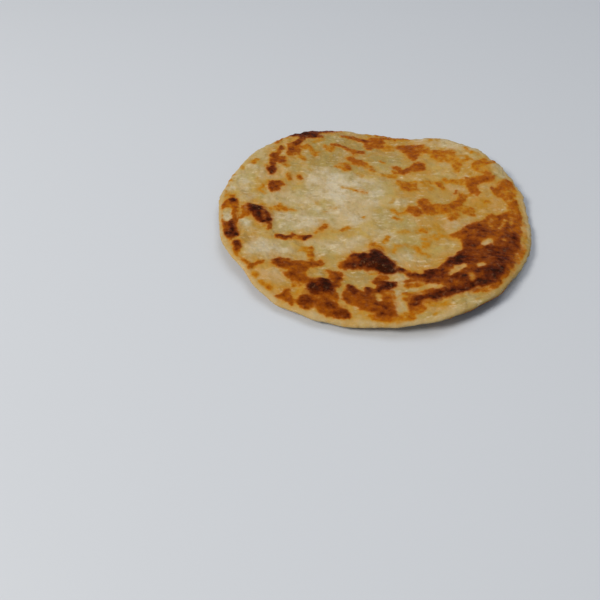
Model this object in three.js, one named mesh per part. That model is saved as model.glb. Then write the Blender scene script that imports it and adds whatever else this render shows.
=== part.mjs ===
// A paratha: one griddled round of layered flatbread, lying free on its flat underside.
// Millimetres, +Z up. The origin is under the middle of the round, on the surface it lies on.

import * as THREE from "three";

// Driving sizes.
const diameter = 160;
const thickness = 4.2;
const rimSquareness = 22; // the higher it is, the nearer the edge the round starts to thin
const flatCore = 0.3; // share of the radius that lies flat before the rim starts to rise
const rimRise = 2.2; // how far the rim stands off the surface where no curl changes it
const rimCurve = 1.6; // the higher it is, the later the rise towards the rim comes
const settling = 0.7; // how far the dough sinks beyond the flat core, where its foot is pressed flat

// The mesh: rings of points that crowd together towards the edge, where the round thins.
const ringCount = 26;
const pointsPerRing = 6; // each ring has this many more points than the ring inside it
const ringCrowding = 1.55;

// Where the outline leaves a true circle. Angles run anticlockwise from +X, in degrees.
const outlineLobes = [
  { at: 74, spread: 12, push: -4.4 },
  { at: 94, spread: 5, push: 1.4 },
  { at: 128, spread: 24, push: 1.4 },
  { at: 167, spread: 9, push: 1.4 },
  { at: 22, spread: 4, push: 0.8 },
  { at: -12, spread: 12, push: -1.4 },
  { at: -48, spread: 14, push: -1.8 },
  { at: -100, spread: 15, push: -1.5 },
  { at: -148, spread: 6, push: -1.8 },
];

// The fine unevenness of the stretched and folded edge: waves round the whole outline.
const outlineWaves = [
  { count: 13, depth: 0.22, phase: 40 },
  { count: 29, depth: 0.14, phase: 200 },
];

// Where the rim curls up from the surface, or sags back to it.
const rimCurls = [
  { at: 136, spread: 24, rise: 5.0 },
  { at: 76, spread: 15, rise: -4.0 },
  { at: 33, spread: 19, rise: 3.9 },
  { at: -10, spread: 12, rise: -1.0 },
  { at: -66, spread: 20, rise: 2.8 },
  { at: -118, spread: 10, rise: -0.6 },
  { at: -158, spread: 15, rise: 2.4 },
];

// Uneven patches of the upper face: the puffed middle, the hollows beside it, then the blisters
// that met the pan. half is their half length and half width, and turn the length's angle from +X.
const swellings = [
  { x: 3, y: 17, half: [30, 22], turn: -25, rise: 2.0 },
  { x: -13, y: 46, half: [13, 7], turn: -20, rise: -0.9 },
  { x: 27, y: -33, half: [14, 9], turn: 15, rise: -0.7 },
  { x: 50, y: 24, half: [12, 6], turn: 20, rise: -0.5 },
  { x: -42, y: 46, half: [16, 11], turn: 50, rise: 0.8 },
  { x: -60, y: 0, half: [9, 5], turn: -42, rise: 1.3 },
  { x: -29, y: -54, half: [8, 5.5], turn: 0, rise: 1.4 },
  { x: -12, y: -38, half: [10, 4.5], turn: 20, rise: 1.5 },
  { x: -1, y: -42, half: [8, 5], turn: -48, rise: 1.4 },
  { x: 50, y: -24, half: [17, 8], turn: -8, rise: 1.0 },
  { x: 44, y: -45, half: [19, 9], turn: 40, rise: 1.1 },
  { x: 22, y: -58, half: [16, 4.5], turn: 20, rise: 0.9 },
  { x: -35, y: -63, half: [8, 5], turn: -20, rise: 0.9 },
  { x: -10, y: -64, half: [14, 5], turn: 5, rise: 0.8 },
  { x: -45, y: -42, half: [9, 5.5], turn: -60, rise: 0.7 },
  { x: 66, y: 28, half: [11, 8], turn: -50, rise: 0.9 },
  { x: 44, y: 46, half: [16, 4.5], turn: -22, rise: 0.7 },
  { x: 24, y: 38, half: [10, 4.5], turn: 30, rise: 0.8 },
  { x: 38, y: 1, half: [18, 5], turn: 12, rise: 0.8 },
  { x: -50, y: 21, half: [6, 5], turn: 0, rise: 0.8 },
];

// Shallow waves that the folded layers leave in both faces.
const layerWaves = [
  { length: 34, turn: 62, height: 0.3 },
  { length: 21, turn: 104, height: 0.22 },
  { length: 13, turn: 81, height: 0.14 },
];

const crumbMaterial = new THREE.MeshStandardMaterial({
  color: 0xb98a45,
  roughness: 0.62,
  metalness: 0,
});

const degrees = Math.PI / 180;

// A smooth hill, 1 at no distance, that has all but gone at three times its spread.
function hill(distance, spread) {
  return Math.exp(-0.5 * (distance / spread) ** 2);
}

function angleBetween(a, b) {
  return THREE.MathUtils.euclideanModulo(a - b + 180, 360) - 180;
}

function outlineRadius(angle) {
  let radius = diameter / 2;
  for (const lobe of outlineLobes) {
    radius += lobe.push * hill(angleBetween(angle, lobe.at), lobe.spread);
  }
  for (const wave of outlineWaves) {
    radius += wave.depth * Math.sin((wave.count * angle + wave.phase) * degrees);
  }
  return radius;
}

function rimHeight(angle) {
  let height = rimRise;
  for (const curl of rimCurls) {
    height += curl.rise * hill(angleBetween(angle, curl.at), curl.spread);
  }
  return Math.max(height, 0);
}

function swellingHeight(x, y) {
  let height = 0;
  for (const swelling of swellings) {
    const cos = Math.cos(swelling.turn * degrees);
    const sin = Math.sin(swelling.turn * degrees);
    const along = (x - swelling.x) * cos + (y - swelling.y) * sin;
    const across = (y - swelling.y) * cos - (x - swelling.x) * sin;
    const [halfLength, halfWidth] = swelling.half;
    height += swelling.rise * Math.exp(-((along / halfLength) ** 2) - (across / halfWidth) ** 2);
  }
  return height;
}

function waveHeight(x, y) {
  let height = 0;
  for (const wave of layerWaves) {
    const travel = x * Math.cos(wave.turn * degrees) + y * Math.sin(wave.turn * degrees);
    height += wave.height * Math.sin((2 * Math.PI * travel) / wave.length);
  }
  return height;
}

// Heights of the two faces at one place. They meet at the edge, where reach is 1.
function faceHeights(x, y, angle, reach) {
  const climb = Math.max((reach - flatCore) / (1 - flatCore), 0);
  const fullness = Math.sqrt(1 - reach ** rimSquareness);
  const rise = rimHeight(angle) * climb ** rimCurve + (waveHeight(x, y) - settling) * climb;
  const middle = thickness / 2 + rise;
  const upper = middle + (thickness / 2 + swellingHeight(x, y)) * fullness;
  const lower = middle - (thickness / 2) * fullness;
  return { upper, lower: Math.max(lower, 0) };
}

// The points of one ring, evenly spaced round it.
function ringPoints(ring) {
  const reach = 1 - (1 - ring / ringCount) ** ringCrowding;
  const count = Math.max(ring * pointsPerRing, 1);
  const points = [];
  for (let step = 0; step < count; step += 1) {
    const angle = (360 * step) / count;
    const radius = reach * outlineRadius(angle);
    const x = radius * Math.cos(angle * degrees);
    const y = radius * Math.sin(angle * degrees);
    points.push({ x, y, ...faceHeights(x, y, angle, reach) });
  }
  return points;
}

// Triangles between a ring and the next one out, as pairs of [ring, step], anticlockwise from above.
function bandTriangles(ring) {
  const triangles = [];
  const inner = Math.max(ring * pointsPerRing, 1);
  const outer = (ring + 1) * pointsPerRing;
  for (let sector = 0; sector < pointsPerRing; sector += 1) {
    for (let step = 0; step <= ring; step += 1) {
      const near = [ring, (sector * ring + step) % inner];
      const far = [ring + 1, sector * (ring + 1) + step];
      const farNext = [ring + 1, (sector * (ring + 1) + step + 1) % outer];
      triangles.push([near, far, farNext]);
      if (step < ring) {
        const nearNext = [ring, (sector * ring + step + 1) % inner];
        triangles.push([near, farNext, nearNext]);
      }
    }
  }
  return triangles;
}

// The closed solid: an upper and a lower face of the same rings, which share the last one.
function makeRound() {
  const positions = [];
  const upperIndex = [];
  const lowerIndex = [];
  const addPoint = (x, y, z) => {
    positions.push(x, y, z);
    return positions.length / 3 - 1;
  };

  for (let ring = 0; ring < ringCount; ring += 1) {
    const points = ringPoints(ring);
    upperIndex.push(points.map((point) => addPoint(point.x, point.y, point.upper)));
    lowerIndex.push(points.map((point) => addPoint(point.x, point.y, point.lower)));
  }
  const edgeIndex = ringPoints(ringCount).map((point) => addPoint(point.x, point.y, point.upper));
  upperIndex.push(edgeIndex);
  lowerIndex.push(edgeIndex);

  const indices = [];
  for (let ring = 0; ring < ringCount; ring += 1) {
    for (const [a, b, c] of bandTriangles(ring)) {
      indices.push(upperIndex[a[0]][a[1]], upperIndex[b[0]][b[1]], upperIndex[c[0]][c[1]]);
      indices.push(lowerIndex[a[0]][a[1]], lowerIndex[c[0]][c[1]], lowerIndex[b[0]][b[1]]);
    }
  }

  const geometry = new THREE.BufferGeometry();
  geometry.setAttribute("position", new THREE.Float32BufferAttribute(positions, 3));
  geometry.setIndex(indices);
  geometry.computeBoundingBox();
  const centre = geometry.boundingBox.getCenter(new THREE.Vector3());
  geometry.translate(-centre.x, -centre.y, -geometry.boundingBox.min.z);
  geometry.computeVertexNormals();
  return geometry;
}

const paratha = new THREE.Mesh(makeRound(), crumbMaterial);
paratha.name = "paratha";

const part = new THREE.Group();
part.add(paratha);

export default part;
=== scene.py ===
import math

import bpy
import numpy
from mathutils import Matrix, Vector, noise


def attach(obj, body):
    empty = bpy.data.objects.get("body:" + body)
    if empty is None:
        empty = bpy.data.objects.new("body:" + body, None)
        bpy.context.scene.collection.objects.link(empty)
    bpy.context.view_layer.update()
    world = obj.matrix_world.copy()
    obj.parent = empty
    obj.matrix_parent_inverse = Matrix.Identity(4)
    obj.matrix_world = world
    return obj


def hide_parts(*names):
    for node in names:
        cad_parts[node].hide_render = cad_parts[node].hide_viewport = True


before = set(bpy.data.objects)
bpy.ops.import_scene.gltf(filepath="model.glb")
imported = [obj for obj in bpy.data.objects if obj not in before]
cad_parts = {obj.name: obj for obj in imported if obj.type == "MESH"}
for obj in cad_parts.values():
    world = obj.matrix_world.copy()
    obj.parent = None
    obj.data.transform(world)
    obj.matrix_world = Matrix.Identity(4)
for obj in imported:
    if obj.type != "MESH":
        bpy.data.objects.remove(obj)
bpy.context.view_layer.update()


def mm(length):
    return length / 1000


def deselectAll():
    if bpy.context.mode != "OBJECT":
        bpy.ops.object.mode_set(mode="OBJECT")
    bpy.ops.object.select_all(action="DESELECT")


def makeActive(piece):
    deselectAll()
    piece.select_set(True)
    bpy.context.view_layer.objects.active = piece


# camera, floor and light

studio = {
    "cameraPlace": (-39.3, -207.6, 168.8),  # mm from the middle of the round
    "cameraDown": 48.4,  # degrees below level, looking along +Y
    "cameraRoll": -2.5,
    "lens": 30,
    "sensor": 36,
    "nearest": 10,  # mm, what the camera starts to see
    "floorSize": 12000,  # mm
    "floorDrop": 0.05,  # mm that the floor lies below the round
    "floorColour": "#c6cad0",
    "worldColour": "#eef2f6",
    "worldStrength": 0.3,
    "lights": {  # place and size in mm, power in watts
        "lampLeft": {"place": (-1150, -420, 1150), "size": 600, "power": 22, "colour": "#fffaf2"},
        "softOverhead": {"place": (500, 700, 1900), "size": 1500, "power": 13, "colour": "#f6f9ff"},
    },
}


def linear(hexColour):
    parts = [int(hexColour[at:at + 2], 16) / 255 for at in (1, 3, 5)]
    curved = [part / 12.92 if part <= 0.04045 else ((part + 0.055) / 1.055) ** 2.4 for part in parts]
    return (*curved, 1.0)


def addNode(tree, kind, settings):
    # a setting names a property or an input, or an input's number, and an input takes a value or a socket
    node = tree.nodes.new(kind)
    for name, value in settings.items():
        if isinstance(value, bpy.types.NodeSocket):
            tree.links.new(value, node.inputs[name])
        elif isinstance(name, int) or name in node.inputs:
            node.inputs[name].default_value = value
        else:
            setattr(node, name, value)
    return node


def newMaterial(name):
    material = bpy.data.materials.new(name)
    material.use_nodes = True
    material.node_tree.nodes.clear()
    return material


def makeCamera():
    bpy.ops.object.camera_add(location=[mm(part) for part in studio["cameraPlace"]])
    camera = bpy.context.active_object
    camera.name = "servingView"
    tip = Matrix.Rotation(math.radians(90 - studio["cameraDown"]), 4, "X")
    roll = Matrix.Rotation(math.radians(studio["cameraRoll"]), 4, "Z")
    camera.rotation_euler = (tip @ roll).to_euler()
    camera.data.lens = studio["lens"]
    camera.data.sensor_width = studio["sensor"]
    camera.data.clip_start = mm(studio["nearest"])
    bpy.context.scene.camera = camera


def makeFloor():
    # melamine-faced laminate: a pale, nearly matt sheet that gives the round no clear reflection
    bpy.ops.mesh.primitive_plane_add(size=mm(studio["floorSize"]), location=(0, 0, -mm(studio["floorDrop"])))
    floor = bpy.context.active_object
    floor.name = "floor"
    material = newMaterial("paleLaminate")
    tree = material.node_tree
    shader = addNode(tree, "ShaderNodeBsdfPrincipled", {
        "Base Color": linear(studio["floorColour"]), "Roughness": 0.55, "Specular IOR Level": 0.3})
    addNode(tree, "ShaderNodeOutputMaterial", {"Surface": shader.outputs["BSDF"]})
    floor.data.materials.append(material)


def makeLight():
    world = bpy.data.worlds.new("softRoom")
    world.use_nodes = True
    background = world.node_tree.nodes["Background"]
    background.inputs["Color"].default_value = linear(studio["worldColour"])
    background.inputs["Strength"].default_value = studio["worldStrength"]
    bpy.context.scene.world = world
    for name, light in studio["lights"].items():
        bpy.ops.object.light_add(type="AREA", location=[mm(part) for part in light["place"]])
        lamp = bpy.context.active_object
        lamp.name = name
        lamp.data.shape = "DISK"
        lamp.data.size = mm(light["size"])
        lamp.data.energy = light["power"]
        lamp.data.color = linear(light["colour"])[:3]
        lamp.rotation_euler = (-lamp.location).to_track_quat("-Z", "Y").to_euler()
    bpy.context.scene.view_settings.view_transform = "Standard"


makeCamera()
makeFloor()
makeLight()
print("stage: camera, floor and light")


# where the round browned

# One mark of browning is its width in mm or "filled" where its points run round it, its heat from
# 0 raw to 1 charred, and its points in mm from the middle of the round. Marks only darken what is
# under them, so a charred spot is laid over a brown patch.
browningMarks = {
    "far left rim": [
        ("filled", 0.86, (-42, 68), (-38, 72), (-33, 75), (-24, 78), (-24, 68), (-27, 66.5), (-31, 65.5),
         (-35, 65.5), (-39, 67)),
        ("filled", 0.84, (-23, 73), (-23, 81), (-13, 81), (-14, 76.5), (-18, 74)),
        (2.4, 0.5, (-15, 78), (-9, 79)),
        (3, 0.58, (-24, 69), (-22, 69)),
        (3.6, 0.7, (-32, 67), (-35, 63), (-38, 60)),
        (2, 0.78, (-38, 60), (-36, 61)),
        ("filled", 0.57, (-43, 59), (-40, 60), (-36, 58), (-35, 53), (-36, 50), (-39, 48), (-43, 48),
         (-42, 53)),
        (2.4, 0.68, (-41, 54), (-41, 50)),
        (2, 0.56, (-49, 60), (-46, 66)),
        (3.4, 0.6, (-46, 55), (-48, 51), (-51, 47)),
        (1.6, 0.76, (-47, 56), (-46, 54)),
        ("filled", 0.6, (-53, 44.5), (-50, 47), (-44, 46), (-44, 43), (-46, 40), (-49, 41), (-50, 37),
         (-54, 40)),
        (1.6, 0.72, (-50, 48), (-51, 43), (-52, 37)),
        (1.8, 0.72, (-47, 42), (-45, 42)),
        (1.8, 0.68, (-49, 45), (-45, 45)),
        ("filled", 0.84, (-55, 36), (-52, 38), (-50, 35), (-50, 32), (-53, 32)),
        (3.2, 0.38, (-60.5, 43.5), (-62, 41)),
        (1.6, 0.3, (-70, 39), (-68, 36)),
        (1.2, 0.28, (-75.5, 33), (-73, 31.5)),
        (1.6, 0.32, (-77, 28), (-74, 27)),
        (1.4, 0.3, (-78.5, 23.5), (-76, 22.5)),
        (3, 0.46, (-34, 56), (-31, 58), (-29, 56), (-28, 53)),
        ("filled", 0.46, (-28, 54), (-23, 54), (-25, 50), (-28, 49)),
        (3.2, 0.4, (-35, 47), (-33, 45)),
        (1.8, 0.42, (-36, 50)),
        (2, 0.36, (-45, 40), (-43, 38)),
        (2, 0.2, (-31, 37), (-30, 36)),
        (2.4, 0.26, (-27, 62), (-21, 66)),
    ],
    "left of the middle": [
        (3.2, 0.54, (-43, 31), (-42, 28)),
        (2.2, 0.56, (-37, 31), (-36, 28)),
        ("filled", 0.62, (-53, 24.5), (-51, 25.5), (-46, 25), (-45, 22), (-47, 21), (-48, 17), (-52, 16),
         (-53, 19)),
        (2.2, 0.74, (-52, 24), (-52, 20)),
        (1.6, 0.68, (-48, 24), (-49, 19)),
        (1.8, 0.36, (-57, 23), (-58, 19), (-56, 16)),
        (1.4, 0.22, (-60, 28), (-59, 26)),
        (1.4, 0.22, (-29, 8), (-28, 6)),
        (1.2, 0.3, (-21, 3)),
        (1.2, 0.26, (-19, 2)),
        (1, 0.24, (-24, 0)),
        # a thin dark crease line: painted shade in a crease, laid on as browning
        (0.9, 0.3, (-14, 19), (-9, 17), (-6, 15)),
        (0.8, 0.5, (-6.5, 15.2), (-2, 12.8)),
        (1.2, 0.24, (-4, 15.5), (-1, 14)),
        (1.3, 0.42, (-5, -6)),
    ],
    "left rim": [
        (1.6, 0.4, (-79, 21), (-76, 15)),
        (2.2, 0.46, (-76, 14), (-73, 13)),
        ("filled", 0.52, (-78, 7), (-76, 9), (-74, 12), (-70, 11), (-69, 8), (-69.5, 4), (-73, 4),
         (-78, 3)),
        (2, 0.6, (-75.5, 9), (-77, 5), (-77.5, 3)),
        (2, 0.88, (-73, 10), (-72, 9)),
        (2.2, 0.54, (-70.5, 7), (-71, 1)),
        (2.4, 0.62, (-71.5, 0), (-71, -7)),
        (1.6, 0.5, (-78.5, 2), (-78.5, -3), (-77.5, -8), (-76, -12)),
        ("filled", 0.6, (-77.5, -6), (-74, -8), (-70, -7), (-69, -12), (-68, -17), (-69, -21),
         (-72, -22.5), (-75, -19), (-76, -13)),
        (1.8, 0.9, (-72.5, -9), (-71.5, -15)),
        ("filled", 0.78, (-74, -15), (-70, -14.5), (-69.5, -18), (-71, -20.5), (-73, -19)),
        (1.4, 0.9, (-73.5, -17), (-70, -18)),
        (4.6, 0.5, (-69, -24), (-68.5, -31)),
        (1.4, 0.8, (-69, -24.5), (-68, -28)),
        (2, 0.4, (-69, -33), (-67, -35)),
    ],
    "oval blister and the streaks beside it": [
        ("filled", 0.84, (-65, 6), (-61, 6), (-58, 5), (-56, 2), (-53, -2), (-52, -6), (-53, -9),
         (-57, -9), (-60, -6), (-62, -3), (-64, 1)),
        ("filled", 0.57, (-68, 2), (-67, 5), (-64, 6), (-62, 1), (-64, -3), (-67, -2)),
        (2.4, 0.94, (-62, 4.5), (-59, 1), (-57, -2.5)),
        (2.2, 0.94, (-56, -7), (-53, -6)),
        (2.4, 0.52, (-70, 1), (-68, -3)),
        (2, 0.66, (-53, -10), (-53, -13)),
        (1.6, 0.34, (-53, 4), (-52, 0), (-52, -5)),
        ("filled", 0.46, (-51, 5), (-48, 7), (-45, 5.5), (-39, 2), (-46, 1.5), (-51, 2.5)),
        (2.6, 0.63, (-49, -18.5), (-45, -20), (-41, -17.5)),
        (0.6, 0.84, (-46, -19.5), (-43, -19)),
        (0.6, 0.78, (-48, -18.5)),
        (2.2, 0.45, (-42, -20), (-39, -20)),
        (3.2, 0.62, (-37, -19.5), (-34.5, -20)),
        (1, 0.86, (-35, -20.5), (-33, -19)),
        (3, 0.56, (-25, -11), (-27.5, -14)),
        (1.8, 0.42, (-28, -14.5), (-30, -16)),
        (2, 0.48, (-16.5, -15.5), (-13.5, -14)),
        (1.4, 0.24, (-22, -16), (-20, -17)),
    ],
    "far middle": [
        (2.8, 0.54, (-9, 71), (-3, 70)),
        (4.2, 0.64, (-2, 70), (3, 68), (7, 67)),
        (5, 0.6, (5.5, 64), (6, 58.5)),
        (4, 0.58, (7, 62), (10, 62)),
        ("filled", 0.62, (8, 70), (12, 70), (15, 68), (16, 64), (13, 62), (9, 63)),
        (2.2, 0.48, (12, 77), (12, 72)),
        (3, 0.3, (7, 77), (9, 71)),
        ("filled", 0.3, (12, 74), (20, 73), (32, 69), (32, 66), (24, 66), (14, 68)),
        (1.4, 0.5, (12, 76), (18, 73), (30, 70)),
        (2.4, 0.5, (16, 69), (22, 69)),
        ("filled", 0.4, (11, 62), (19, 62), (22, 59), (21, 55), (16, 55), (12, 58)),
        (2.4, 0.48, (13, 60), (17, 58)),
        (3, 0.56, (11, 60), (13, 60)),
        (3.4, 0.47, (-20, 59), (-16, 57.5)),
        (3, 0.44, (-19, 56), (-17, 55.5)),
        (2.4, 0.58, (-16, 61), (-12, 61), (-8, 58), (-6, 56)),
        ("filled", 0.6, (-7, 56), (-3, 56), (3, 55), (3, 52), (-4, 51), (-6, 53)),
        ("filled", 0.52, (-8, 50), (-5, 49), (1, 45), (1, 40), (-2, 39), (-5, 42), (-8, 46)),
        (6, 0.46, (-10.5, 42), (-9.5, 37)),
        (2.6, 0.56, (-9, 39), (-8.5, 37)),
        (2.6, 0.46, (-15, 40), (-12, 38)),
        (3, 0.46, (4.5, 38), (4.5, 33)),
        (3.4, 0.44, (2, 41), (2, 37)),
        (4, 0.62, (-4, 45), (-4, 43)),
        (0.8, 0.5, (10, 43.5), (12, 41.5)),
        (3, 0.26, (-4, 31), (-2, 28)),
        (4.2, 0.38, (11, 28), (16, 26)),
        (2.6, 0.52, (16.5, 32), (17, 30)),
        ("filled", 0.57, (16, 37), (18, 38), (20, 35), (21, 32), (24, 33), (28, 37), (29, 39), (31, 40),
         (34, 39), (35, 35), (34, 31), (30, 30), (26, 30), (22, 28), (19, 29), (19, 31), (17, 34)),
        (3.2, 0.62, (32, 37), (33, 34)),
        (2, 0.64, (21, 30), (25, 32)),
    ],
    "far right": [
        ("filled", 0.56, (22, 60), (24, 61), (30, 61), (34, 59), (38, 58), (38, 54), (36, 50), (34, 47),
         (32, 44), (30, 41), (28, 42), (27, 46), (26, 50), (25, 53), (23, 56)),
        (3.4, 0.64, (29, 56), (30, 46)),
        ("filled", 0.38, (38, 57), (41, 54), (40, 50), (36, 48), (35, 52)),
        (3, 0.3, (43, 66), (43, 61)),
        (3.2, 0.27, (46, 65), (47, 60)),
        ("filled", 0.46, (37, 50), (40, 49), (44, 50), (47, 50), (48, 48), (53, 47), (54, 45), (53, 42),
         (52, 38), (49, 36), (45, 37), (42, 38), (40, 42), (38, 46)),
        ("filled", 0.36, (50, 40), (54, 41), (55, 38), (55, 35), (53, 29), (51, 27), (49, 28), (49, 35)),
        (2.2, 0.46, (51, 29), (52, 34)),
        (2.2, 0.56, (44, 43), (46, 42)),
        (2.6, 0.54, (44, 48), (47, 46), (51, 44)),
        (2, 0.37, (55, 40), (59, 39), (60, 36), (56, 35)),
        (1.8, 0.42, (60, 48), (61, 44)),
        (2, 0.34, (62, 43), (65, 40)),
        ("filled", 0.42, (58, 29), (61, 33), (65, 36), (68, 37), (71, 33), (68, 29), (69, 26), (67, 22),
         (62, 23), (60, 27)),
        (2.4, 0.48, (65, 25), (66, 22)),
        (2.2, 0.48, (61, 32), (66, 34)),
        (2.2, 0.46, (71, 32), (73, 34)),
        (2, 0.26, (56, 29), (57, 25)),
    ],
    "right of the middle": [
        (1.8, 0.4, (20, 20), (36, 20), (52, 19.5)),
        ("filled", 0.35, (17, 23), (19, 21), (27, 21), (27, 16), (27, 13), (24, 12), (20, 13), (16, 13),
         (17, 17), (16, 19)),
        (1.4, 0.46, (17, 22), (18, 18)),
        (1.2, 0.5, (20, 20), (20, 15)),
        (1.6, 0.52, (23, 18.5), (26, 18)),
        (2.6, 0.5, (20, 15), (25, 14)),
        (2.8, 0.38, (31, 18), (34, 15)),
        (2.8, 0.44, (39, 18), (40, 14)),
        (1.6, 0.42, (41, 20), (43, 23)),
        (2.6, 0.4, (45, 19), (51, 18)),
        ("filled", 0.55, (53.5, 21.5), (60, 21.5), (64, 21.5), (66, 23), (69, 20), (67, 16), (63, 16),
         (60, 16), (58, 13), (58, 9), (57, 6), (55, 8), (53, 10), (53, 14)),
        (2.8, 0.58, (56, 17), (57, 9)),
        (2.6, 0.6, (62, 18), (66, 19)),
        (2.8, 0.38, (49, 9.5), (53, 7)),
        (0.6, 0.62, (45.5, 9), (47, 11.5)),
        ("filled", 0.45, (16, -3), (19, -1), (24, 1), (24, 4), (26, 6), (31, 6), (30, 1), (37, 1), (42, 1),
         (45, 5), (48, 8), (51, 7), (50, 4), (47, 1), (46, -1), (52, -2), (53, -5), (51, -9), (48, -9),
         (45, -6), (37, -6), (33, -7), (27, -8), (21, -7), (18, -5)),
        (4.6, 0.62, (21, -2), (22, -5)),
        (4, 0.56, (27, 4), (28, -2)),
        (3.2, 0.53, (41, -1), (49, 6)),
        (2.4, 0.5, (34, -3), (40, -3)),
        (2.8, 0.53, (48, -6), (50, -8)),
        (2.6, 0.6, (28, -4), (30, -3)),
        ("filled", 0.55, (37, -9), (39, -7), (43, -7), (44, -9), (42, -11), (38, -12)),
        (1.8, 0.38, (10, -2), (13, -5), (16, -5)),
        (1, 0.24, (10, 3), (12, 6)),
        (1.4, 0.48, (10.5, -8), (12, -9)),
        ("filled", 0.34, (57, 3), (62, 3), (63, 0), (58, -1)),
        (4.4, 0.24, (55, -1), (58, -3)),
        (3.2, 0.3, (12, -19), (15, -18)),
        (2.6, 0.42, (22, -18), (24, -19)),
        (3.4, 0.26, (20, -19), (27, -18)),
        (4.6, 0.3, (23, -24), (33, -24)),
        (3, 0.38, (24, -26), (22, -30)),
        (3.4, 0.24, (30, -14), (32, -21)),
        (2.2, 0.36, (3, -25), (5, -22)),
        (2.4, 0.37, (6, -33), (8, -29), (13, -28), (17, -30), (19, -34)),
        (2.2, 0.3, (19, -33), (22, -37)),
    ],
    "right rim": [
        ("filled", 0.46, (68, 15), (70, 17), (75, 18), (78, 15), (78, 11), (77, 6), (75, 2), (75, -3),
         (75, -8), (74.5, -10.5), (72, -12), (66, -10), (66, -7), (69, -6), (70, -1), (68, 3), (66, 4),
         (64, 8), (65, 11)),
        (2.4, 0.58, (66, 11), (69, 5)),
        (3, 0.56, (72, 2), (73, -2)),
        (2.6, 0.54, (72.5, -5), (73.5, -7)),
        (4.6, 0.6, (71, 12), (75, 14)),
    ],
    "broad brown patch": [
        ("filled", 0.61, (57, -10), (60, -8), (63, -9), (67, -8), (75, -10), (72, -18), (70, -25),
         (67, -30), (66, -36), (62, -39), (60, -44), (59, -48), (56, -51), (54, -55), (49, -58), (43, -59),
         (34, -60), (26, -60), (20, -57), (16, -54), (20, -50), (24, -48), (26, -46), (29, -42), (34, -38),
         (39, -34), (40, -30), (40, -26), (36, -25), (36, -22), (42, -20), (46, -16), (50, -14.5),
         (54.5, -12.5)),
        ("filled", 0.68, (45, -17), (51, -15), (54, -18), (53, -27), (47, -28), (42, -27), (41, -22)),
        (2.8, 0.76, (50, -19), (50, -25)),
        (3, 0.68, (64, -18), (68, -14)),
        (3, 0.7, (56, -24), (62, -22)),
        ("filled", 0.82, (41.5, -28), (47, -28), (47, -31), (44, -33), (41.5, -32.5)),
        ("filled", 0.76, (48, -33), (56, -31), (60, -27), (66, -24), (66, -35), (62, -38), (56, -40),
         (50, -40), (44, -38), (42, -35)),
        (2.6, 0.79, (62, -27), (65, -31)),
        ("filled", 0.79, (38, -35), (46, -37), (48, -43), (45, -45), (39, -44)),
        (2.4, 0.84, (52, -36), (60, -36)),
        ("filled", 0.93, (30, -41), (35, -38), (38, -39), (37, -43), (33, -45), (29, -45)),
        (3, 0.84, (37, -37), (41, -35)),
        (3, 0.87, (38, -43.5), (41, -43.5)),
        (2.6, 0.78, (36, -46.5), (38.5, -45.5)),
        (2.6, 0.82, (40.5, -53), (41.5, -51)),
        (3, 0.68, (55.5, -14), (58, -14)),
        ("filled", 0.8, (50, -36), (58, -38), (58, -46), (53, -50), (47, -54), (43, -56), (42, -50),
         (47, -47), (49, -43)),
        ("filled", 0.91, (46, -50), (51, -47), (52, -48), (51, -52), (48, -55), (44, -55)),
        ("filled", 0.73, (34, -50), (38, -47), (41, -49), (41, -52), (36, -53)),
        (2.6, 0.8, (28, -56), (36, -54)),
        (2.4, 0.84, (29, -54), (32, -53)),
        (2.2, 0.76, (24, -52), (27, -50)),
        (3.6, 0.89, (18, -64), (25, -62.5), (32, -61), (38, -58.5), (44, -56)),
        ("filled", 0.78, (15, -51), (24, -50), (27, -52), (26, -55), (22, -57), (17, -55)),
        (4, 0.74, (29, -45), (24, -49)),
        (4, 0.3, (73, -16), (70, -25), (68, -32), (65, -38), (61.5, -45), (57.5, -51)),
        (3, 0.36, (57, -52), (51, -58), (43, -61)),
        (2.6, 0.57, (46, -60), (42, -61.5), (37, -62.5)),
        (3, 0.5, (66, -35), (64.5, -39), (61.5, -44)),
        (2, 0.87, (31, -55.5), (35, -56)),
    ],
    "streaks along the front right": [
        (2.4, 0.85, (12, -50), (20, -51)),
        ("filled", 0.93, (18, -47), (22, -47), (22, -52), (18, -52)),
        (2.2, 0.66, (9, -53), (15, -53)),
        (2.6, 0.5, (8, -56.5), (14, -56)),
        (3, 0.8, (10, -65.5), (18, -63.5), (24, -62)),
        ("filled", 0.72, (7, -70), (7, -66), (9, -64), (13, -63), (13, -67), (10, -70)),
        (2, 0.5, (6, -62), (12, -62), (18, -61)),
        (1.6, 0.66, (16.5, -60.5), (19, -60)),
        (2.2, 0.44, (12, -69), (18, -66), (26, -64)),
        (3, 0.56, (8, -72), (12, -71)),
        (2.4, 0.3, (14, -69), (24, -69)),
        (2, 0.24, (17, -75), (18, -74)),
        (2, 0.2, (36, -68), (40, -66)),
    ],
    "charred fold": [
        ("filled", 0.68, (-20, -40), (-17, -38), (-16, -36), (-13, -34), (-11, -33), (-7, -34), (-6, -36),
         (-5, -33), (-5, -31), (-3, -30), (0, -31), (1, -36), (3, -40), (5, -42), (5, -46), (3, -48),
         (0, -48), (-2, -47), (-3, -45), (-7, -45), (-10, -44), (-13, -44), (-19, -44)),
        ("filled", 0.84, (-13, -34), (-8, -34), (-6, -37), (-3, -40), (-3, -44), (-7, -43), (-9, -42),
         (-12, -40)),
        ("filled", 0.93, (-4, -36), (-4.5, -32), (-2, -31), (0, -33), (1, -36), (3, -40), (5, -43),
         (4, -47), (1, -48), (-2, -46), (-3, -43), (-5, -40)),
        (2, 0.95, (-9, -36), (-8.5, -40)),
        (3.8, 0.99, (-4.5, -37.5), (-4, -42), (1, -45)),
        (2.4, 0.68, (-20, -41), (-17, -41.5)),
        (2.6, 0.87, (-16, -41), (-11, -42)),
        ("filled", 0.48, (-5, -28), (-4, -25.5), (0, -26), (2, -28.5), (2, -32), (-6, -31.5)),
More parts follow.
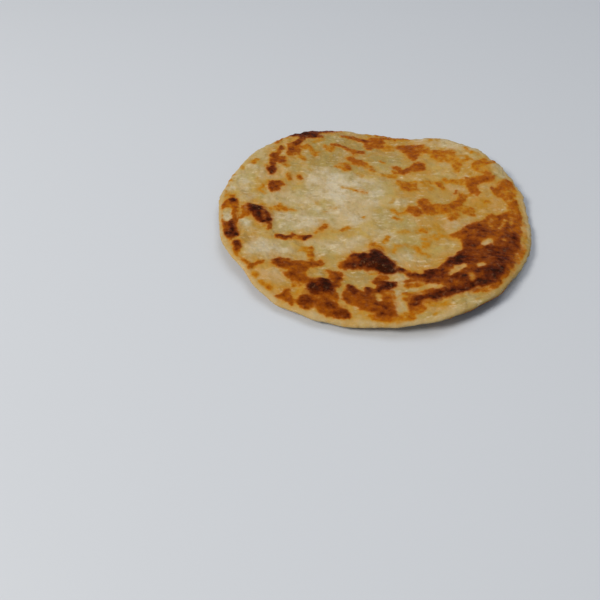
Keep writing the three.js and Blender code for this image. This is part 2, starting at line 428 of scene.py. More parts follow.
        (1, 0.6, (-13, -34), (-13, -32)),
        (1.8, 0.92, (7, -45.5), (8, -46)),
        (2.4, 0.62, (6, -46), (9, -47), (11, -49)),
        (1.6, 0.45, (5, -41), (6, -44)),
    ],
    "front middle": [
        ("filled", 0.63, (-7, -51), (-5, -50), (-1, -50), (0, -53), (4, -54), (3, -56), (1, -57), (0, -61),
         (1, -64), (1, -71), (-2, -72), (-8, -71), (-13, -69), (-18, -66), (-20, -63), (-20, -58),
         (-18, -56), (-17, -54), (-15, -54), (-15, -57), (-11, -59), (-9, -57), (-5, -57), (-4, -55),
         (-6, -53)),
        ("filled", 0.46, (-11, -72), (-6, -70), (0, -71), (1, -73), (8, -72), (10, -74), (6, -78),
         (-1, -79), (-8, -78)),
        (3, 0.48, (-4, -76), (6, -75.5)),
        (2.4, 0.84, (-17, -55), (-16, -59)),
        (3, 0.8, (-9, -58), (-9, -60)),
        (2.8, 0.76, (-4, -51), (-3, -56), (-4, -59)),
        ("filled", 0.9, (-1, -53), (4, -54), (3, -56.5), (0, -58), (-2, -57)),
        (5, 0.67, (-14, -62), (-11, -65)),
        (5, 0.69, (-12, -66), (-7, -68), (-2, -70)),
        (3, 0.68, (-4, -65), (-1, -65)),
        (3, 0.75, (-6, -71.5), (-1, -72)),
        (2.4, 0.5, (6, -65), (9, -64)),
        (2.4, 0.46, (1, -60), (1.5, -65)),
        (1.8, 0.72, (-19, -60), (-18, -64)),
    ],
    "front left and the round blister": [
        ("filled", 0.6, (-52, -36), (-50, -35), (-44, -37), (-40, -37), (-35, -37.5), (-28, -37),
         (-28, -40), (-34, -41), (-36, -45), (-35, -50), (-36, -53), (-39, -52), (-41, -50), (-46, -49),
         (-46, -46), (-44, -44), (-47, -42), (-50, -40), (-52, -38.5), (-51, -37.5)),
        (1.8, 0.8, (-50.5, -36), (-49, -38)),
        (2.8, 0.78, (-48, -39), (-45, -40)),
        (2.4, 0.66, (-48, -35.5), (-44, -36)),
        (2, 0.6, (-2, -50), (0, -50.5)),
        (2.6, 0.67, (-42, -39), (-38, -41)),
        (3.2, 0.68, (-44, -47), (-40, -48)),
        ("filled", 0.38, (-38, -27), (-32, -27), (-32, -38), (-35, -38), (-35.5, -31), (-39, -30)),
        (1, 0.48, (-32.5, -28), (-32.5, -34)),
        (2.4, 0.6, (-30, -38), (-29, -39)),
        ("filled", 0.67, (-26, -44), (-22, -44.5), (-19.5, -45.5), (-19.5, -50), (-21, -53), (-24, -53),
         (-25.5, -50), (-25.5, -47)),
        (1.8, 0.8, (-22, -50), (-22, -52)),
        ("filled", 0.76, (-35.5, -53), (-33, -51), (-31, -50), (-27, -50), (-25, -52), (-25, -55),
         (-26, -59), (-29, -60.5), (-33, -59.5), (-35.5, -56)),
        (2.8, 0.68, (-25, -54.5), (-22.5, -54)),
        (3, 0.68, (-25.5, -57), (-25, -60)),
        (2.6, 0.42, (-42, -52), (-39, -52.5)),
        ("filled", 0.97, (-35, -54), (-33, -52), (-31, -53), (-31, -57), (-34, -57)),
        ("filled", 0.96, (-31, -50), (-27, -50), (-25.5, -53), (-27, -56.5), (-29, -55)),
        ("filled", 0.66, (-51, -58), (-48, -57), (-46, -55), (-44, -55), (-44, -59), (-42, -61),
         (-43, -64), (-46, -62), (-48, -60), (-50, -59)),
        ("filled", 0.69, (-41, -62), (-39, -59.5), (-36, -58.5), (-33.5, -60), (-33.5, -64), (-36, -67),
         (-38, -66.5)),
        (2.8, 0.82, (-38.5, -61), (-35.5, -61)),
        (3, 0.72, (-35, -63), (-33, -63.5)),
        (2.6, 0.62, (-45, -58.5), (-43.5, -60)),
        (2.6, 0.74, (-34, -50), (-32, -50)),
        ("filled", 0.61, (-33, -63), (-31, -61), (-27, -60), (-23, -59), (-22, -63), (-23, -65),
         (-21, -68), (-18, -71), (-19, -73), (-22, -73), (-26, -72), (-30, -70), (-32, -68)),
        (4, 0.75, (-30, -63), (-27, -65)),
        (3.8, 0.68, (-28, -68), (-23, -70)),
        (2.6, 0.78, (-23, -69.5), (-20.5, -71)),
        (2.4, 0.45, (-60, -45), (-59, -46)),
        (1.6, 0.38, (-57, -50), (-56, -50)),
        (3, 0.45, (-55, -52), (-52, -54)),
        (1.8, 0.54, (-67, -36), (-63, -38)),
        (2.4, 0.62, (-62, -41), (-59, -39), (-56, -38)),
        (2.4, 0.3, (-40, -56), (-38, -59)),
    ],
}

# Places inside the browning that are paler, most where it stayed less browned and two that are painted
# glints: width, share of the browning taken away, points.
paleGapsAndGlints = [
    (3.2, 0.85, (-75, 0.5), (-74.5, -4)),
    # painted highlight on the oval blister
    (1.4, 0.28, (-56.5, -1), (-55.5, -5)),
    (3, 0.4, (20, 64)),
    (3, 0.3, (64, 27), (67, 26)),
    (2.4, 0.16, (71, 9), (75, 8)),
    (1.6, 0.4, (65.5, 13), (67, 12.5)),
    (2, 0.4, (55.5, 43), (57, 42.5)),
    (1.6, 0.4, (61, -20), (65, -14)),
    (1.4, 0.3, (67, -17), (69, -12)),
    (2, 0.95, (49.5, -31.5), (52.5, -29.5)),
    # painted glint on the broad brown patch
    (1, 0.5, (59, -29.5), (60, -29.5)),
    (1.2, 0.65, (29.5, -51), (33, -47.5)),
    (1.4, 0.9, (33, -47.5), (36, -45.5)),
    (1.4, 0.9, (43, -47.5), (45, -46.5)),
    (1.6, 0.4, (52, -32), (53, -31.5)),
    (1.8, 0.5, (37, -56), (37.5, -54)),
    (1.6, 0.2, (43, -39), (45, -40)),
    (2, 0.3, (57, -17), (59, -12)),
    (1.6, 0.7, (17, -57.5), (20, -58)),
    (2, 0.75, (-5, -62), (-5, -64)),
    (3, 0.2, (-1, -61), (-1, -64)),
    (1.6, 0.3, (-25, -62), (-24, -63)),
]

# How the dough between the browning looks, as strokes again, some of them painted sheen and painted shade:
# width, strength, points.
toneStrokes = {
    "drynessAndSheen": [
        # whitish dry dough; the broad first stroke, over the middle hump, is painted sheen
        (25, 1.0, (-22, 26), (-12, 19), (-3, 13)),
        (20, 0.75, (-44, -6), (-26, -4), (-8, -4)),
        (14, 0.7, (-60, -27), (-48, -30)),
        (10, 0.6, (-31, -24), (-20, -28)),
        (8, 0.6, (-59, 50), (-56, 46)),
        (6, 0.6, (-54, -23), (-48, -24)),
        (14, 0.7, (-50, 12), (-34, 12)),
        (10, 0.7, (-70, 22), (-64, 36)),
        (6, 0.9, (-75, -2), (-66, -8)),
        (8, 0.6, (-54, -46), (-50, -48)),
        (6, 0.7, (3, -60), (3, -70)),
        (6, 0.4, (-4, -16), (9, -23)),
        (6, 0.6, (3, -53), (11, -55)),
        (6, 0.5, (8, 5), (12, 3)),
        (5, 0.5, (-75, 1), (-72, 0)),
        (8, 0.45, (-57, 32), (-49, 31)),
        (6, 0.6, (-68, 13), (-64, 11)),
        (8, 0.45, (53, 44), (58, 40)),
        (5, 0.8, (-14, -26), (-8, -24)),
        (5, 0.6, (6, -36.5), (12, -35.5)),
        (5, 0.5, (-14, -29.5), (-10, -28.5)),
        (5, 0.5, (-40, -33.5), (-35, -34)),
        (6, 0.8, (34, 64), (38, 63)),
        (6, 0.9, (73, 27), (72, 22)),
        (5, 0.6, (46, -12.5), (38, -15)),
        (10, 0.6, (46, 60), (62, 48)),
        (6, 0.4, (76, -14), (74, -24)),
    ],
    "goldenness": [
        (18, 0.65, (24, 10), (46, 12), (60, 12)),
        (14, 0.8, (56, 0), (66, -2)),
        (12, 1.0, (26, -11), (34, -14)),
        (8, 0.6, (34, -14), (42, -13)),
        (14, 0.8, (14, 66), (34, 62)),
        (11, 0.7, (12, 54), (24, 54)),
        (8, 0.7, (42, 60), (46, 50), (53, 48)),
        (6, 0.6, (-5, 73), (3, 74)),
        (6, 0.45, (50, 10), (56, 8)),
        (18, 0.55, (48, 42), (64, 26)),
        (10, 0.35, (36, 30), (46, 28)),
        (5, 0.5, (-58, 22), (-56, 16)),
        (12, 0.6, (-42, 56), (-30, 52)),
        (14, 0.8, (-62, -44), (-46, -52), (-34, -42)),
        (8, 0.6, (-56, -14), (-66, -20)),
        (8, 0.6, (24, -22), (30, -26)),
        (6, 0.7, (10, -72), (24, -68)),
        (6, 0.8, (-8, -75), (6, -76)),
    ],
    "greasinessAndShade": [
        # darker, greasy olive dough; the strokes over the far slope of the middle hump, where it turns away
        # from the light, are painted shade
        (20, 0.85, (-24, 48), (-4, 54), (16, 48)),
        (6, 0.7, (10, -32), (14, -31)),
        (9, 0.6, (2, -2), (5, -13)),
        (9, 0.7, (12, 43), (15, 38)),
        (10, 0.7, (-18, 66), (-8, 64)),
        (10, 0.8, (-15, 41), (-4, 37)),
        (8, 0.3, (26, 44), (24, 40)),
        (10, 0.45, (6, -4), (14, -12)),
        (9, 0.5, (14, -22), (26, -22)),
        (11, 0.9, (-15, -48), (-5, -49.5)),
        (6, 0.7, (28, -66.5), (40, -64.5)),
        (8, 0.6, (-28, -42), (-22, -38)),
        (8, 0.6, (-29, -44), (-33, -49)),
        (5, 0.7, (-22, -54), (-21, -60)),
        (6, 0.6, (2, -50), (4, -48)),
        (6, 0.7, (-30, 63), (-26, 60)),
        # painted shade along the front right rim
        (8, 0.9, (30, -74), (42, -69), (56, -58), (66, -46), (72, -32)),
        (8, 0.3, (34, 14), (44, 8)),
    ],
    "milkiness": [
        # the milky band over the middle hump adds to the painted sheen there
        (12, 0.75, (-17, 28), (-16, 9)),
        (10, 0.35, (-30, 26), (-28, 14)),
        (11, 0.35, (-8, 30), (0, 19)),
        (9, 0.25, (-50, -4), (-36, -6), (-22, -6)),
        (5, 0.45, (-12, -5), (-6, -6)),
        (3, 0.6, (-74, 30), (-72, 29)),
        (3, 0.6, (-76, 21), (-73, 20)),
        (8, 0.5, (-60, -26), (-48, -30)),
        (5, 0.4, (-76, -1), (-75, -5)),
        (5, 0.5, (-66, -7), (-64, -9)),
        (7, 0.5, (40, 64), (52, 56)),
        (6, 0.4, (60, 52), (66, 40)),
        (6, 0.4, (46, 13), (56, 6)),
        (8, 0.4, (47, -13), (36, -19)),
        (5, 0.4, (31, -50), (36, -46)),
        (4, 0.5, (42, -48.5), (44, -47)),
        (4, 0.65, (50, -32), (52, -30.5)),
        (4, 0.25, (18, -58), (22, -58.5)),
        (5, 0.25, (3, -60), (3, -70)),
        (7, 0.2, (0, -50), (8, -50)),
        (6, 0.4, (-52, -46), (-48, -47)),
    ],
}


# how the marks are laid on

seeds = {  # where each pattern of noise starts
    "wanderX": 3, "wanderY": 13, "patchy": 31, "ragged": 32, "glow": 35,
    "drynessAndSheen": 41, "goldenness": 43, "greasinessAndShade": 45, "milkiness": 49, "rim": 47, "edge": 61,
    "apart": (17.3, 9.1, 5.7),  # how far one seed's noise lies from the next one's, in lumps
}

brush = {
    "filledCore": 1.0,  # mm inside the outline where a filled mark starts to fade
    "filledFade": 1.7,  # mm
    "lineCore": 0.25,  # share of a line's width on each side of its middle that doesn't fade
    "lineFade": (0.2, 0.75),  # share of its width, and what is added to that in mm
}


def markGap(x, y, points, filled):
    # how far each place is from the line through the points, or from the area that they run round
    nearest = numpy.full(x.shape, numpy.inf)
    inside = numpy.zeros(x.shape, dtype=bool)
    shortest = 1e-9  # keeps a line of a single point from dividing by nothing
    ends = points[1:] + points[:1] if filled else points[1:] or points
    for (fromX, fromY), (toX, toY) in zip(points, ends):
        runX, runY = toX - fromX, toY - fromY
        lengthSquared = max(runX ** 2 + runY ** 2, shortest)
        share = numpy.clip(((x - fromX) * runX + (y - fromY) * runY) / lengthSquared, 0, 1)
        nearest = numpy.minimum(nearest, numpy.hypot(x - fromX - share * runX, y - fromY - share * runY))
        if filled and runY:
            crossed = ((y < fromY) != (y < toY)) & (x < fromX + (y - fromY) * runX / runY)
            inside ^= crossed
    return numpy.where(inside, -nearest, nearest)


def smooth(low, high, value):
    share = numpy.clip((value - low) / (high - low), 0, 1)
    return share * share * (3 - 2 * share)


def markCover(x, y, mark, spread=1.0):
    # 1 in the middle of the mark, fading out over its edge like a soft brush
    width, points = mark[0], list(mark[2:])
    if width == "filled":
        beyond = markGap(x, y, points, True) + brush["filledCore"]
        fade = brush["filledFade"]
    else:
        beyond = markGap(x, y, points, False) - width * brush["lineCore"]
        fade = brush["lineFade"][0] * width + brush["lineFade"][1]
    return numpy.exp(-(numpy.maximum(beyond, 0) / (spread * fade)) ** 2)


def lumps(points, size, seed, octaves=2, stretch=1.0):
    # noise from about -1 to 1, with lumps of this size in mm, longer along X where stretched
    offset = Vector([seed * step for step in seeds["apart"]])
    scale = numpy.array((1 / size / stretch, 1 / size, 1 / size))
    fall, finer = 1.0, 2.0  # each octave is half as high as the last one, and twice as fine
    return numpy.array([noise.fractal(Vector(at) + offset, fall, finer, octaves) for at in points * scale])


browning = {
    "slide": (0, -0.9),  # mm that all the marks and tones are moved by
    "wander": ((6, 0.8), (2.2, 0.6)),  # lump size and sideways drift of the edges, mm
    "glowSpread": 2.6,  # of the orange halo, in times the mark's own fade
    "glowStrength": 0.6,
    "glowBreaks": (6, 3, 1.4),  # the gaps in the halo: size in mm, octaves and stretch
    "glowShown": (-0.2, 0.5),  # noise over which the halo comes in
    "scorchSpread": 1.5,  # of each mark's own brown under its faded edge
    "scorchFullness": 2.5,  # the higher it is, the farther that brown keeps its full depth
    "warmthSpread": 5,  # of the golden dough round the browning
    "warmthStrength": 1.18,
    "coolest": 0.85,  # share of the warmth that the driest or greasiest dough, with its painted sheen and painted shade, takes away
    "uneven": {"patchy": (4.2, 0.13, 1.5), "ragged": (1.8, 0.14, 1.3)},  # size, change of heat, stretch
    "unevenFrom": (0.05, 0.4),  # heat over which it turns uneven
    "rimBand": (0.8, 3.0),  # mm from the outline over which the browning sets in
    "rimShare": 0.25,  # what is left of it on the outline
    "overRim": ("far left rim", "far middle", "far right"),  # regions that are browned to the edge
}


def browningOf(points, rimGap):
    # the heat, the brown under the marks' edges and the warmth round them, at every point
    x = points[:, 0] - browning["slide"][0]
    y = points[:, 1] - browning["slide"][1]
    for step, (size, drift) in enumerate(browning["wander"]):
        x += drift * lumps(points, size, seeds["wanderX"] + step)
        y += drift * lumps(points, size, seeds["wanderY"] + step)
    heat, glow, scorch, warmth = numpy.zeros((4, len(points)))
    leftOnRim = browning["rimShare"]
    band = leftOnRim + (1 - leftOnRim) * smooth(*browning["rimBand"], rimGap)
    for region, marks in browningMarks.items():
        share = 1 if region in browning["overRim"] else band
        for mark in marks:
            strength = mark[1]
            halo = strength * markCover(x, y, mark, browning["glowSpread"]) * share
            under = browning["scorchFullness"] * markCover(x, y, mark, browning["scorchSpread"])
            warm = browning["warmthStrength"] * strength * markCover(x, y, mark, browning["warmthSpread"])
            heat = numpy.maximum(heat, heat + (strength - heat) * markCover(x, y, mark) * share)
            glow = numpy.maximum(glow, halo)
            scorch = numpy.maximum(scorch, strength * numpy.minimum(under, 1))
            warmth = numpy.maximum(warmth, warm)
    size, octaves, stretch = browning["glowBreaks"]
    breaks = lumps(points, size, seeds["glow"], octaves, stretch)
    glow *= browning["glowStrength"] * smooth(*browning["glowShown"], breaks)
    heat = numpy.maximum(heat, glow)
    for gap in paleGapsAndGlints:
        heat *= 1 - gap[1] * markCover(x, y, gap)
    for name, (size, change, stretch) in browning["uneven"].items():
        drift = change * lumps(points, size, seeds[name], stretch=stretch)
        heat += drift * smooth(*browning["unevenFrom"], heat)
    return numpy.clip(heat, 0, 1), scorch, warmth


toneBrush = {
    "wander": (8, 3, 3),  # lump size, octaves and sideways drift of the strokes, in mm
    "spread": 1.2,  # how much softer a stroke is than a mark of browning
}


def toneOf(points, name):
    # the strength of one tone at every point
    size, octaves, drift = toneBrush["wander"]
    x = points[:, 0] - browning["slide"][0] + drift * lumps(points, size, seeds[name], octaves)
    y = points[:, 1] - browning["slide"][1] + drift * lumps(points, size, seeds[name] + 1, octaves)
    tone = numpy.zeros(len(points))
    for stroke in toneStrokes[name]:
        tone = numpy.maximum(tone, stroke[1] * markCover(x, y, stroke, toneBrush["spread"]))
    return tone


# the round of dough

dough = {
    "mergeGap": 0.005,  # mm between the loose corners of the frame's round that are made one
    "levels": 2,  # of its subdivision
    "foot": (0.05, 0.8),  # height in mm over which the underside stops being pressed flat
    "upperFacing": (-0.15, 0.25),  # how far up a face points, over which the upper browning comes in
    "lowerFacing": (-0.5, -0.1),  # and over which the lower browning goes out
    "undersideTurn": 128,  # degrees between the browning of the two faces
    "rim": (1.2, 4.2),  # mm from the outline over which the rim turns to browned face
    "rimDrift": (5, 1.2),  # lump size and drift of that change, mm
    "raggedEdge": ((9, 0.6), (3.6, 0.7), (1.8, 0.45)),  # lump size and push in or out of the edge, mm
    "raggedReach": 6,  # mm from the outline
    "raggedSide": 55,  # where the edge is most ragged, degrees from +X
    "raggedTurn": (-0.5, 0.5),  # cosine of the angle from there over which it gets more ragged
    "raggedLeast": 0.3,  # share left on the opposite side
    "relief": {  # texture, size and height in mm, and where it shows
        "pillows": ("CLOUDS", 8, 1.4, "loose"),
        "crinkles": ("CLOUDS", 2.8, 0.8, "loose"),
        "flakes": ("STUCCI", 1.6, 0.3, "loose"),
        "blisters": (None, 0, 0.35, "browned"),
        "bubbles": ("CLOUDS", 1.3, 0.5, "browned"),
    },
    "cloudDetail": 2,  # finer levels in the CLOUDS texture
    "leastWeight": 0.001,  # below which a point is left out of the relief
    "looseOnRim": 0.4,  # share of the loose relief that the outline keeps
    "looseFrom": (1, 4),  # mm from the outline over which the rest comes in
    "brownedFrom": (0.2, 0.8),  # heat over which the browned relief comes in
}


def copyFrameRound():
    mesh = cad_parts["paratha"].data.copy()
    mesh.materials.clear()
    piece = bpy.data.objects.new("parathaRound", mesh)
    bpy.context.collection.objects.link(piece)
    makeActive(piece)
    bpy.ops.object.mode_set(mode="EDIT")
    bpy.ops.mesh.select_all(action="SELECT")
    bpy.ops.mesh.remove_doubles(threshold=mm(dough["mergeGap"]))
    bpy.ops.mesh.normals_make_consistent(inside=False)
    bpy.ops.object.mode_set(mode="OBJECT")
    subdivision = piece.modifiers.new("fineDough", "SUBSURF")
    subdivision.levels = dough["levels"]
    subdivision.render_levels = dough["levels"]
    bpy.ops.object.modifier_apply(modifier=subdivision.name)
    return piece


def vertexArray(piece, name):
    values = numpy.zeros(len(piece.data.vertices) * 3)
    piece.data.vertices.foreach_get(name, values)
    return values.reshape(-1, 3)


def storeAttribute(piece, name, values):
    attribute = piece.data.attributes.new(name, "FLOAT", "POINT")
    attribute.data.foreach_set("value", values.astype(numpy.float32))


def paintGroup(piece, name, weights):
    group = piece.vertex_groups.new(name=name)
    for index, weight in enumerate(weights):
        if weight > dough["leastWeight"]:
            group.add([index], float(weight), "REPLACE")


def gapToRim(points):
    # how far inside the outline each point is, in mm, with the outline measured in narrow sectors
    sectors = 180
    sectorWidth = 360 / sectors
    turn = numpy.degrees(numpy.arctan2(points[:, 1], points[:, 0])) % 360
    radius = numpy.hypot(points[:, 0], points[:, 1])
    widest = numpy.zeros(sectors)
    numpy.maximum.at(widest, (turn / sectorWidth).astype(int) % sectors, radius)
    middles = (numpy.arange(sectors) + 0.5) * sectorWidth
    return numpy.interp(turn, middles, widest, period=360) - radius


def displace(piece, name, layer):
    pattern, size, height, group = layer
    modifier = piece.modifiers.new(name, "DISPLACE")
    modifier.strength = mm(height)
    modifier.vertex_group = group
    modifier.mid_level = 0
    if pattern:
        texture = bpy.data.textures.new(name, pattern)
        texture.noise_scale = mm(size)
        if pattern == "CLOUDS":
            texture.noise_depth = dough["cloudDetail"]
        modifier.texture = texture
        modifier.texture_coords = "LOCAL"
        modifier.mid_level = 0.5
    bpy.ops.object.modifier_apply(modifier=modifier.name)


def brownBothFaces(piece, points, rimGap):
    # the hidden face met the pan too: its browning is of the same kind, mirrored and turned
    facing = vertexArray(piece, "normal")[:, 2]
    upper = smooth(*dough["upperFacing"], facing)
    lower = 1 - smooth(*dough["lowerFacing"], facing)
    above = browningOf(points, rimGap)
    swing = math.radians(dough["undersideTurn"])
    turned = points @ numpy.array([
        (-math.cos(swing), math.sin(swing), 0), (math.sin(swing), math.cos(swing), 0), (0, 0, 1)])
    below = browningOf(turned, rimGap)
    return [top * upper + bottom * lower for top, bottom in zip(above, below)]


def storeLooks(piece, points, rimGap):
    # what the material reads at every point; returns the heat, which the relief follows
    heat, scorch, warmth = brownBothFaces(piece, points, rimGap)
    tones = {name: toneOf(points, name) for name in toneStrokes}
    warmth *= 1 - browning["coolest"] * numpy.maximum(tones["drynessAndSheen"], tones["greasinessAndShade"])
    tones["goldenness"] = numpy.maximum(tones["goldenness"], warmth)
    lumpSize, drift = dough["rimDrift"]
    rim = 1 - smooth(*dough["rim"], rimGap + drift * lumps(points, lumpSize, seeds["rim"]))
    for name, values in {"browning": heat, "scorch": scorch, "rim": rim, **tones}.items():
        storeAttribute(piece, name, values)
    return heat


def addRelief(piece, points, rimGap, heat):
    offFoot = smooth(*dough["foot"], points[:, 2])
    inward = dough["looseOnRim"] + (1 - dough["looseOnRim"]) * smooth(*dough["looseFrom"], rimGap)
    paintGroup(piece, "loose", offFoot * inward)
    paintGroup(piece, "browned", smooth(*dough["brownedFrom"], heat) * offFoot)
    makeActive(piece)
    for name, layer in dough["relief"].items():
        displace(piece, name, layer)
    piece.vertex_groups.clear()


def raggedPush(points, rimGap):
    # how far the ragged edge moves each point in or out, as a share of its distance from the middle
    push = sum(height * lumps(points, size, seeds["edge"]) for size, height in dough["raggedEdge"])
    facing = numpy.cos(numpy.arctan2(points[:, 1], points[:, 0]) - math.radians(dough["raggedSide"]))
    push *= dough["raggedLeast"] + (1 - dough["raggedLeast"]) * smooth(*dough["raggedTurn"], facing)
    push *= smooth(-dough["raggedReach"], 0, -rimGap)
    nearest = 1  # mm from the middle, where there is nothing to push
    return push / numpy.maximum(numpy.hypot(points[:, 0], points[:, 1]), nearest)


def makeRound():
    piece = copyFrameRound()
    points = vertexArray(piece, "co") * 1000
    rimGap = gapToRim(points)
    print("stage: frame round subdivided,", len(points), "points")
    heat = storeLooks(piece, points, rimGap)
    print("stage: browning laid on")
    addRelief(piece, points, rimGap, heat)
    places = vertexArray(piece, "co")
    places[:, :2] *= 1 + raggedPush(points, rimGap)[:, None]
    places[:, 2] = numpy.maximum(places[:, 2], 0)
    piece.data.vertices.foreach_set("co", places.ravel())
    bpy.ops.object.shade_smooth()
    piece.data.update()
    return piece


# baked and browned dough

doughColours = {
    "buttery": "#b29551",
    # dry: whitish dry dough, and the painted sheen over the middle hump
    "dryAndSheen": "#b9a47e",
    # greasy: darker olive dough, also laid on as painted shade
    "golden": "#b48132",
    "greasyAndShaded": "#9f8040",
    "translucent": "#9b824c",
    "olive": "#a3935a",
    "milky": "#c4b79c",
    # fleck: whitish flecks on the pale dough, partly painted glints
    "fleck": "#d0bd98",
    "rim": "#b49d70",
    # pale tan of the painted glints on the browned crust
    "glintTan": "#b98a5e",
    "sheen": "#e8b878",
    "browning": (  # heat, colour
        (0.1, "#a88542"), (0.24, "#aa7c26"), (0.38, "#b07412"), (0.54, "#9c5304"),
        (0.7, "#7e3a04"), (0.84, "#5a1f02"), (0.94, "#380d01"), (1.0, "#260600")),
}

doughPatterns = {  # noise: size of the lumps in mm, detail, roughness, and the range that shows of it
    "clouds": (6, 4, 0.6, None),
    "olivePatches": (11, 3, 0.5, (0.46, 0.62)),
    "mottles": (7.5, 3, 0.55, (0.5, 0.62)),
    "translucentSpots": (4.5, 4, 0.6, (0.48, 0.8)),
    # whitish flecks, partly painted glints on the pale dough
    "flecks": (1.7, 4, 0.6, (0.53, 0.72)),
    "fleckGroups": (8, 2, 0.5, (0.38, 0.62)),
    "bareLip": (6, 4, 0.6, (0.3, 0.6)),
    "blotches": (2, 5, 0.6, None),
    "streaks": (1.3, 3, 0.6, None),
    # painted glints on the browning
    "paintedGlints": (2.4, 4, 0.6, (0.58, 0.76)),
    "greaseSpots": (2.5, 3, 0.5, None),
    "bumps": (1.2, 5, 0.6, None),
}

doughFinish = {
    "alongLayers": ("flecks", "streaks"),  # patterns that are stretched along the folded layers
    "layerScale": 0.45,  # of those patterns along X: the lower it is, the longer they are
    "layerTurn": 0.12,  # radians from X
    "tones": {  # attribute, and the range over which its colour comes in, broken up by clouds
        "golden": ("goldenness", 0.1, 0.9),
        "greasyAndShaded": ("greasinessAndShade", 0.1, 0.9),
        "dryAndSheen": ("drynessAndSheen", 0.1, 0.9),
        "milky": ("milkiness", 0.25, 0.95),
        "glaze": ("goldenness", 0.2, 0.9),
    },
    "cloudMiddle": 0.5,  # of the noise, which then lightens as much as it darkens
    "oliveShare": 0.6,
    "mottleShare": 0.6,
    "glazeShare": 0.45,
    "mottledFrom": (-0.5, 1.0),  # dryness and painted sheen over which the mottles come in
    "lipUntil": (1.4, -0.1),  # greasiness and painted shade over which the pale rim goes out
    "glintsFrom": (0.4, 2.4),  # scorch over which the painted glints come in
    "blotchStrength": 0.42,  # change of heat
    "streakStrength": 0.2,
    "grainFrom": (0.03, 0.35),  # heat over which that change comes in
    "edgeScorch": 0.28,  # share of a mark's own brown in the colour of its faded edge
    "brownFrom": 0.04,  # heat at which browning starts to hide the pale dough
    "opaqueFrom": (0.17, 0.52),  # heat at which it does so fully, and what full scorch adds to that
    "greasySpots": (0.38, 0.58),  # noise over which they turn to matt dough
    "roughness": (0.2, 0.6),  # of greasy spots and of matt dough
    "bumpHeight": 0.3,  # mm
    "bumpStrength": 0.9,
}


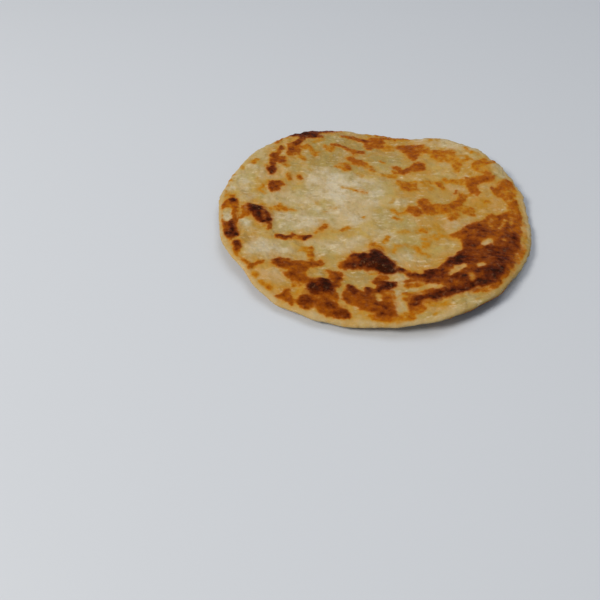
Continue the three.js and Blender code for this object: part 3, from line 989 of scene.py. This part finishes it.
def makeDoughMaterial():
    # Its colour also carries painted sheen, painted shade and painted glints.
    # Baked wheat dough, fried in butter: pale and a little see-through, matt where dry, with a greasy
    # sheen on the buttery parts, and sugars browned to caramel and char where it touched the pan.
    # A Mix node takes its share as 0, numbers as 2 and 3 and colours as 6 and 7, and gives a colour as 2.
    material = newMaterial("panFriedDough")
    tree = material.node_tree
    look = doughFinish
    place = addNode(tree, "ShaderNodeTexCoord", {}).outputs["Object"]
    layered = addNode(tree, "ShaderNodeMapping", {
        "Scale": (look["layerScale"], 1, 1), "Rotation": (0, 0, look["layerTurn"]),
        "Vector": place}).outputs["Vector"]
    laid = {}
    for name in ("browning", "scorch", "rim", *toneStrokes):
        laid[name] = addNode(tree, "ShaderNodeAttribute", {"attribute_name": name}).outputs["Fac"]
    pattern = {}
    for name, (size, detail, roughness, shown) in doughPatterns.items():
        pattern[name] = addNode(tree, "ShaderNodeTexNoise", {
            "Scale": 1 / mm(size), "Detail": detail, "Roughness": roughness,
            "Vector": layered if name in look["alongLayers"] else place}).outputs["Fac"]
        if shown:
            pattern[name] = addNode(tree, "ShaderNodeMapRange", {
                "From Min": shown[0], "From Max": shown[1], "Value": pattern[name]}).outputs["Result"]

    # how much of each tone shows at a place
    clouds = addNode(tree, "ShaderNodeMath", {
        "operation": "SUBTRACT", 0: pattern["clouds"], 1: look["cloudMiddle"]}).outputs[0]
    tone = {}
    for name, (attribute, low, high) in look["tones"].items():
        cloudy = addNode(tree, "ShaderNodeMath", {
            "operation": "ADD", 0: laid[attribute], 1: clouds}).outputs[0]
        tone[name] = addNode(tree, "ShaderNodeMapRange", {
            "From Min": low, "From Max": high, "Value": cloudy}).outputs["Result"]
    limit = {}
    for name, attribute in (
            ("mottledFrom", "drynessAndSheen"), ("lipUntil", "greasinessAndShade"), ("glintsFrom", "scorch"),
            ("grainFrom", "browning")):
        limit[name] = addNode(tree, "ShaderNodeMapRange", {
            "From Min": look[name][0], "From Max": look[name][1],
            "Value": laid[attribute]}).outputs["Result"]
    cover = {}
    for name, factors in {
        "olive": (pattern["olivePatches"], look["oliveShare"]),
        "mottled": (pattern["mottles"], limit["mottledFrom"], look["mottleShare"]),
        "glaze": (tone["glaze"], look["glazeShare"]),
        "flecked": (pattern["flecks"], pattern["fleckGroups"]),
        "lip": (laid["rim"], pattern["bareLip"], limit["lipUntil"]),
        "glinted": (pattern["paintedGlints"], limit["glintsFrom"]),
    }.items():
        cover[name] = factors[0]
        for factor in factors[1:]:
            cover[name] = addNode(tree, "ShaderNodeMath", {
                "operation": "MULTIPLY", 0: cover[name], 1: factor}).outputs[0]

    # pale dough: buttery at first, then one coat over the other; the dry coat is partly painted sheen, the
    # greasy coat partly painted shade and the fleck coat partly painted glints
    pale = linear(doughColours["buttery"])
    for colour, share in (
            ("golden", tone["golden"]), ("greasyAndShaded", tone["greasyAndShaded"]), ("dryAndSheen", tone["dryAndSheen"]),
            ("olive", cover["olive"]), ("milky", tone["milky"]), ("milky", cover["mottled"]),
            ("translucent", pattern["translucentSpots"]), ("golden", cover["glaze"]),
            ("fleck", cover["flecked"]), ("rim", cover["lip"])):
        pale = addNode(tree, "ShaderNodeMix", {
            "data_type": "RGBA", 0: share, 6: pale, 7: linear(doughColours[colour])}).outputs[2]

    # browning, with its edges broken up by fine grain
    blotched, streaked = look["blotchStrength"], look["streakStrength"]
    grain = addNode(tree, "ShaderNodeMath", {
        "operation": "MULTIPLY_ADD", 0: pattern["blotches"], 1: blotched,
        2: -(blotched + streaked) / 2}).outputs[0]
    grain = addNode(tree, "ShaderNodeMath", {
        "operation": "MULTIPLY_ADD", 0: pattern["streaks"], 1: streaked, 2: grain}).outputs[0]
    heat = addNode(tree, "ShaderNodeMath", {
        "operation": "MULTIPLY_ADD", "use_clamp": True, 0: grain, 1: limit["grainFrom"],
        2: laid["browning"]}).outputs[0]
    # the thin edge of a scorched spot is its own brown over pale dough rather than a ring of orange
    depth = addNode(tree, "ShaderNodeMix", {
        0: look["edgeScorch"], 2: heat, 3: laid["scorch"]}).outputs[0]
    depth = addNode(tree, "ShaderNodeMath", {"operation": "MAXIMUM", 0: heat, 1: depth}).outputs[0]
    ramp = addNode(tree, "ShaderNodeValToRGB", {"Fac": depth})
    steps = doughColours["browning"]
    while len(ramp.color_ramp.elements) < len(steps):
        ramp.color_ramp.elements.new(0.5)
    for element, (at, colour) in zip(ramp.color_ramp.elements, steps):
        element.position = at
        element.color = linear(colour)
    # painted glints: small pale tan streaks over the brown that stand for highlights on the greasy crust
    browned = addNode(tree, "ShaderNodeMix", {
        "data_type": "RGBA", 0: cover["glinted"], 6: ramp.outputs["Color"],
        7: linear(doughColours["glintTan"])}).outputs[2]
    least, added = look["opaqueFrom"]
    opaqueFrom = addNode(tree, "ShaderNodeMath", {
        "operation": "MULTIPLY_ADD", 0: laid["scorch"], 1: added, 2: least}).outputs[0]
    opacity = addNode(tree, "ShaderNodeMapRange", {
        "From Min": look["brownFrom"], "From Max": opaqueFrom, "Value": heat}).outputs["Result"]
    colour = addNode(tree, "ShaderNodeMix", {
        "data_type": "RGBA", 0: opacity, 6: pale, 7: browned}).outputs[2]

    roughness = addNode(tree, "ShaderNodeMapRange", {
        "From Min": look["greasySpots"][0], "From Max": look["greasySpots"][1],
        "To Min": look["roughness"][0], "To Max": look["roughness"][1],
        "Value": pattern["greaseSpots"]}).outputs["Result"]
    bump = addNode(tree, "ShaderNodeBump", {
        "Strength": look["bumpStrength"], "Distance": mm(look["bumpHeight"]),
        "Height": pattern["bumps"]})
    shader = addNode(tree, "ShaderNodeBsdfPrincipled", {
        "Base Color": colour,
        "Roughness": roughness,
        "Normal": bump.outputs["Normal"],
        "IOR": 1.45,
        "Specular IOR Level": 0.15,
        "Specular Tint": linear(doughColours["sheen"]),
        "Subsurface Weight": 0.1,
        "Subsurface Radius": (1.0, 0.55, 0.25),
        "Subsurface Scale": mm(0.8),
    })
    addNode(tree, "ShaderNodeOutputMaterial", {"Surface": shader.outputs["BSDF"]})
    return material


paratha = makeRound()
paratha.data.materials.append(makeDoughMaterial())
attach(paratha, "root")
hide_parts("paratha")
print("stage: round finished")
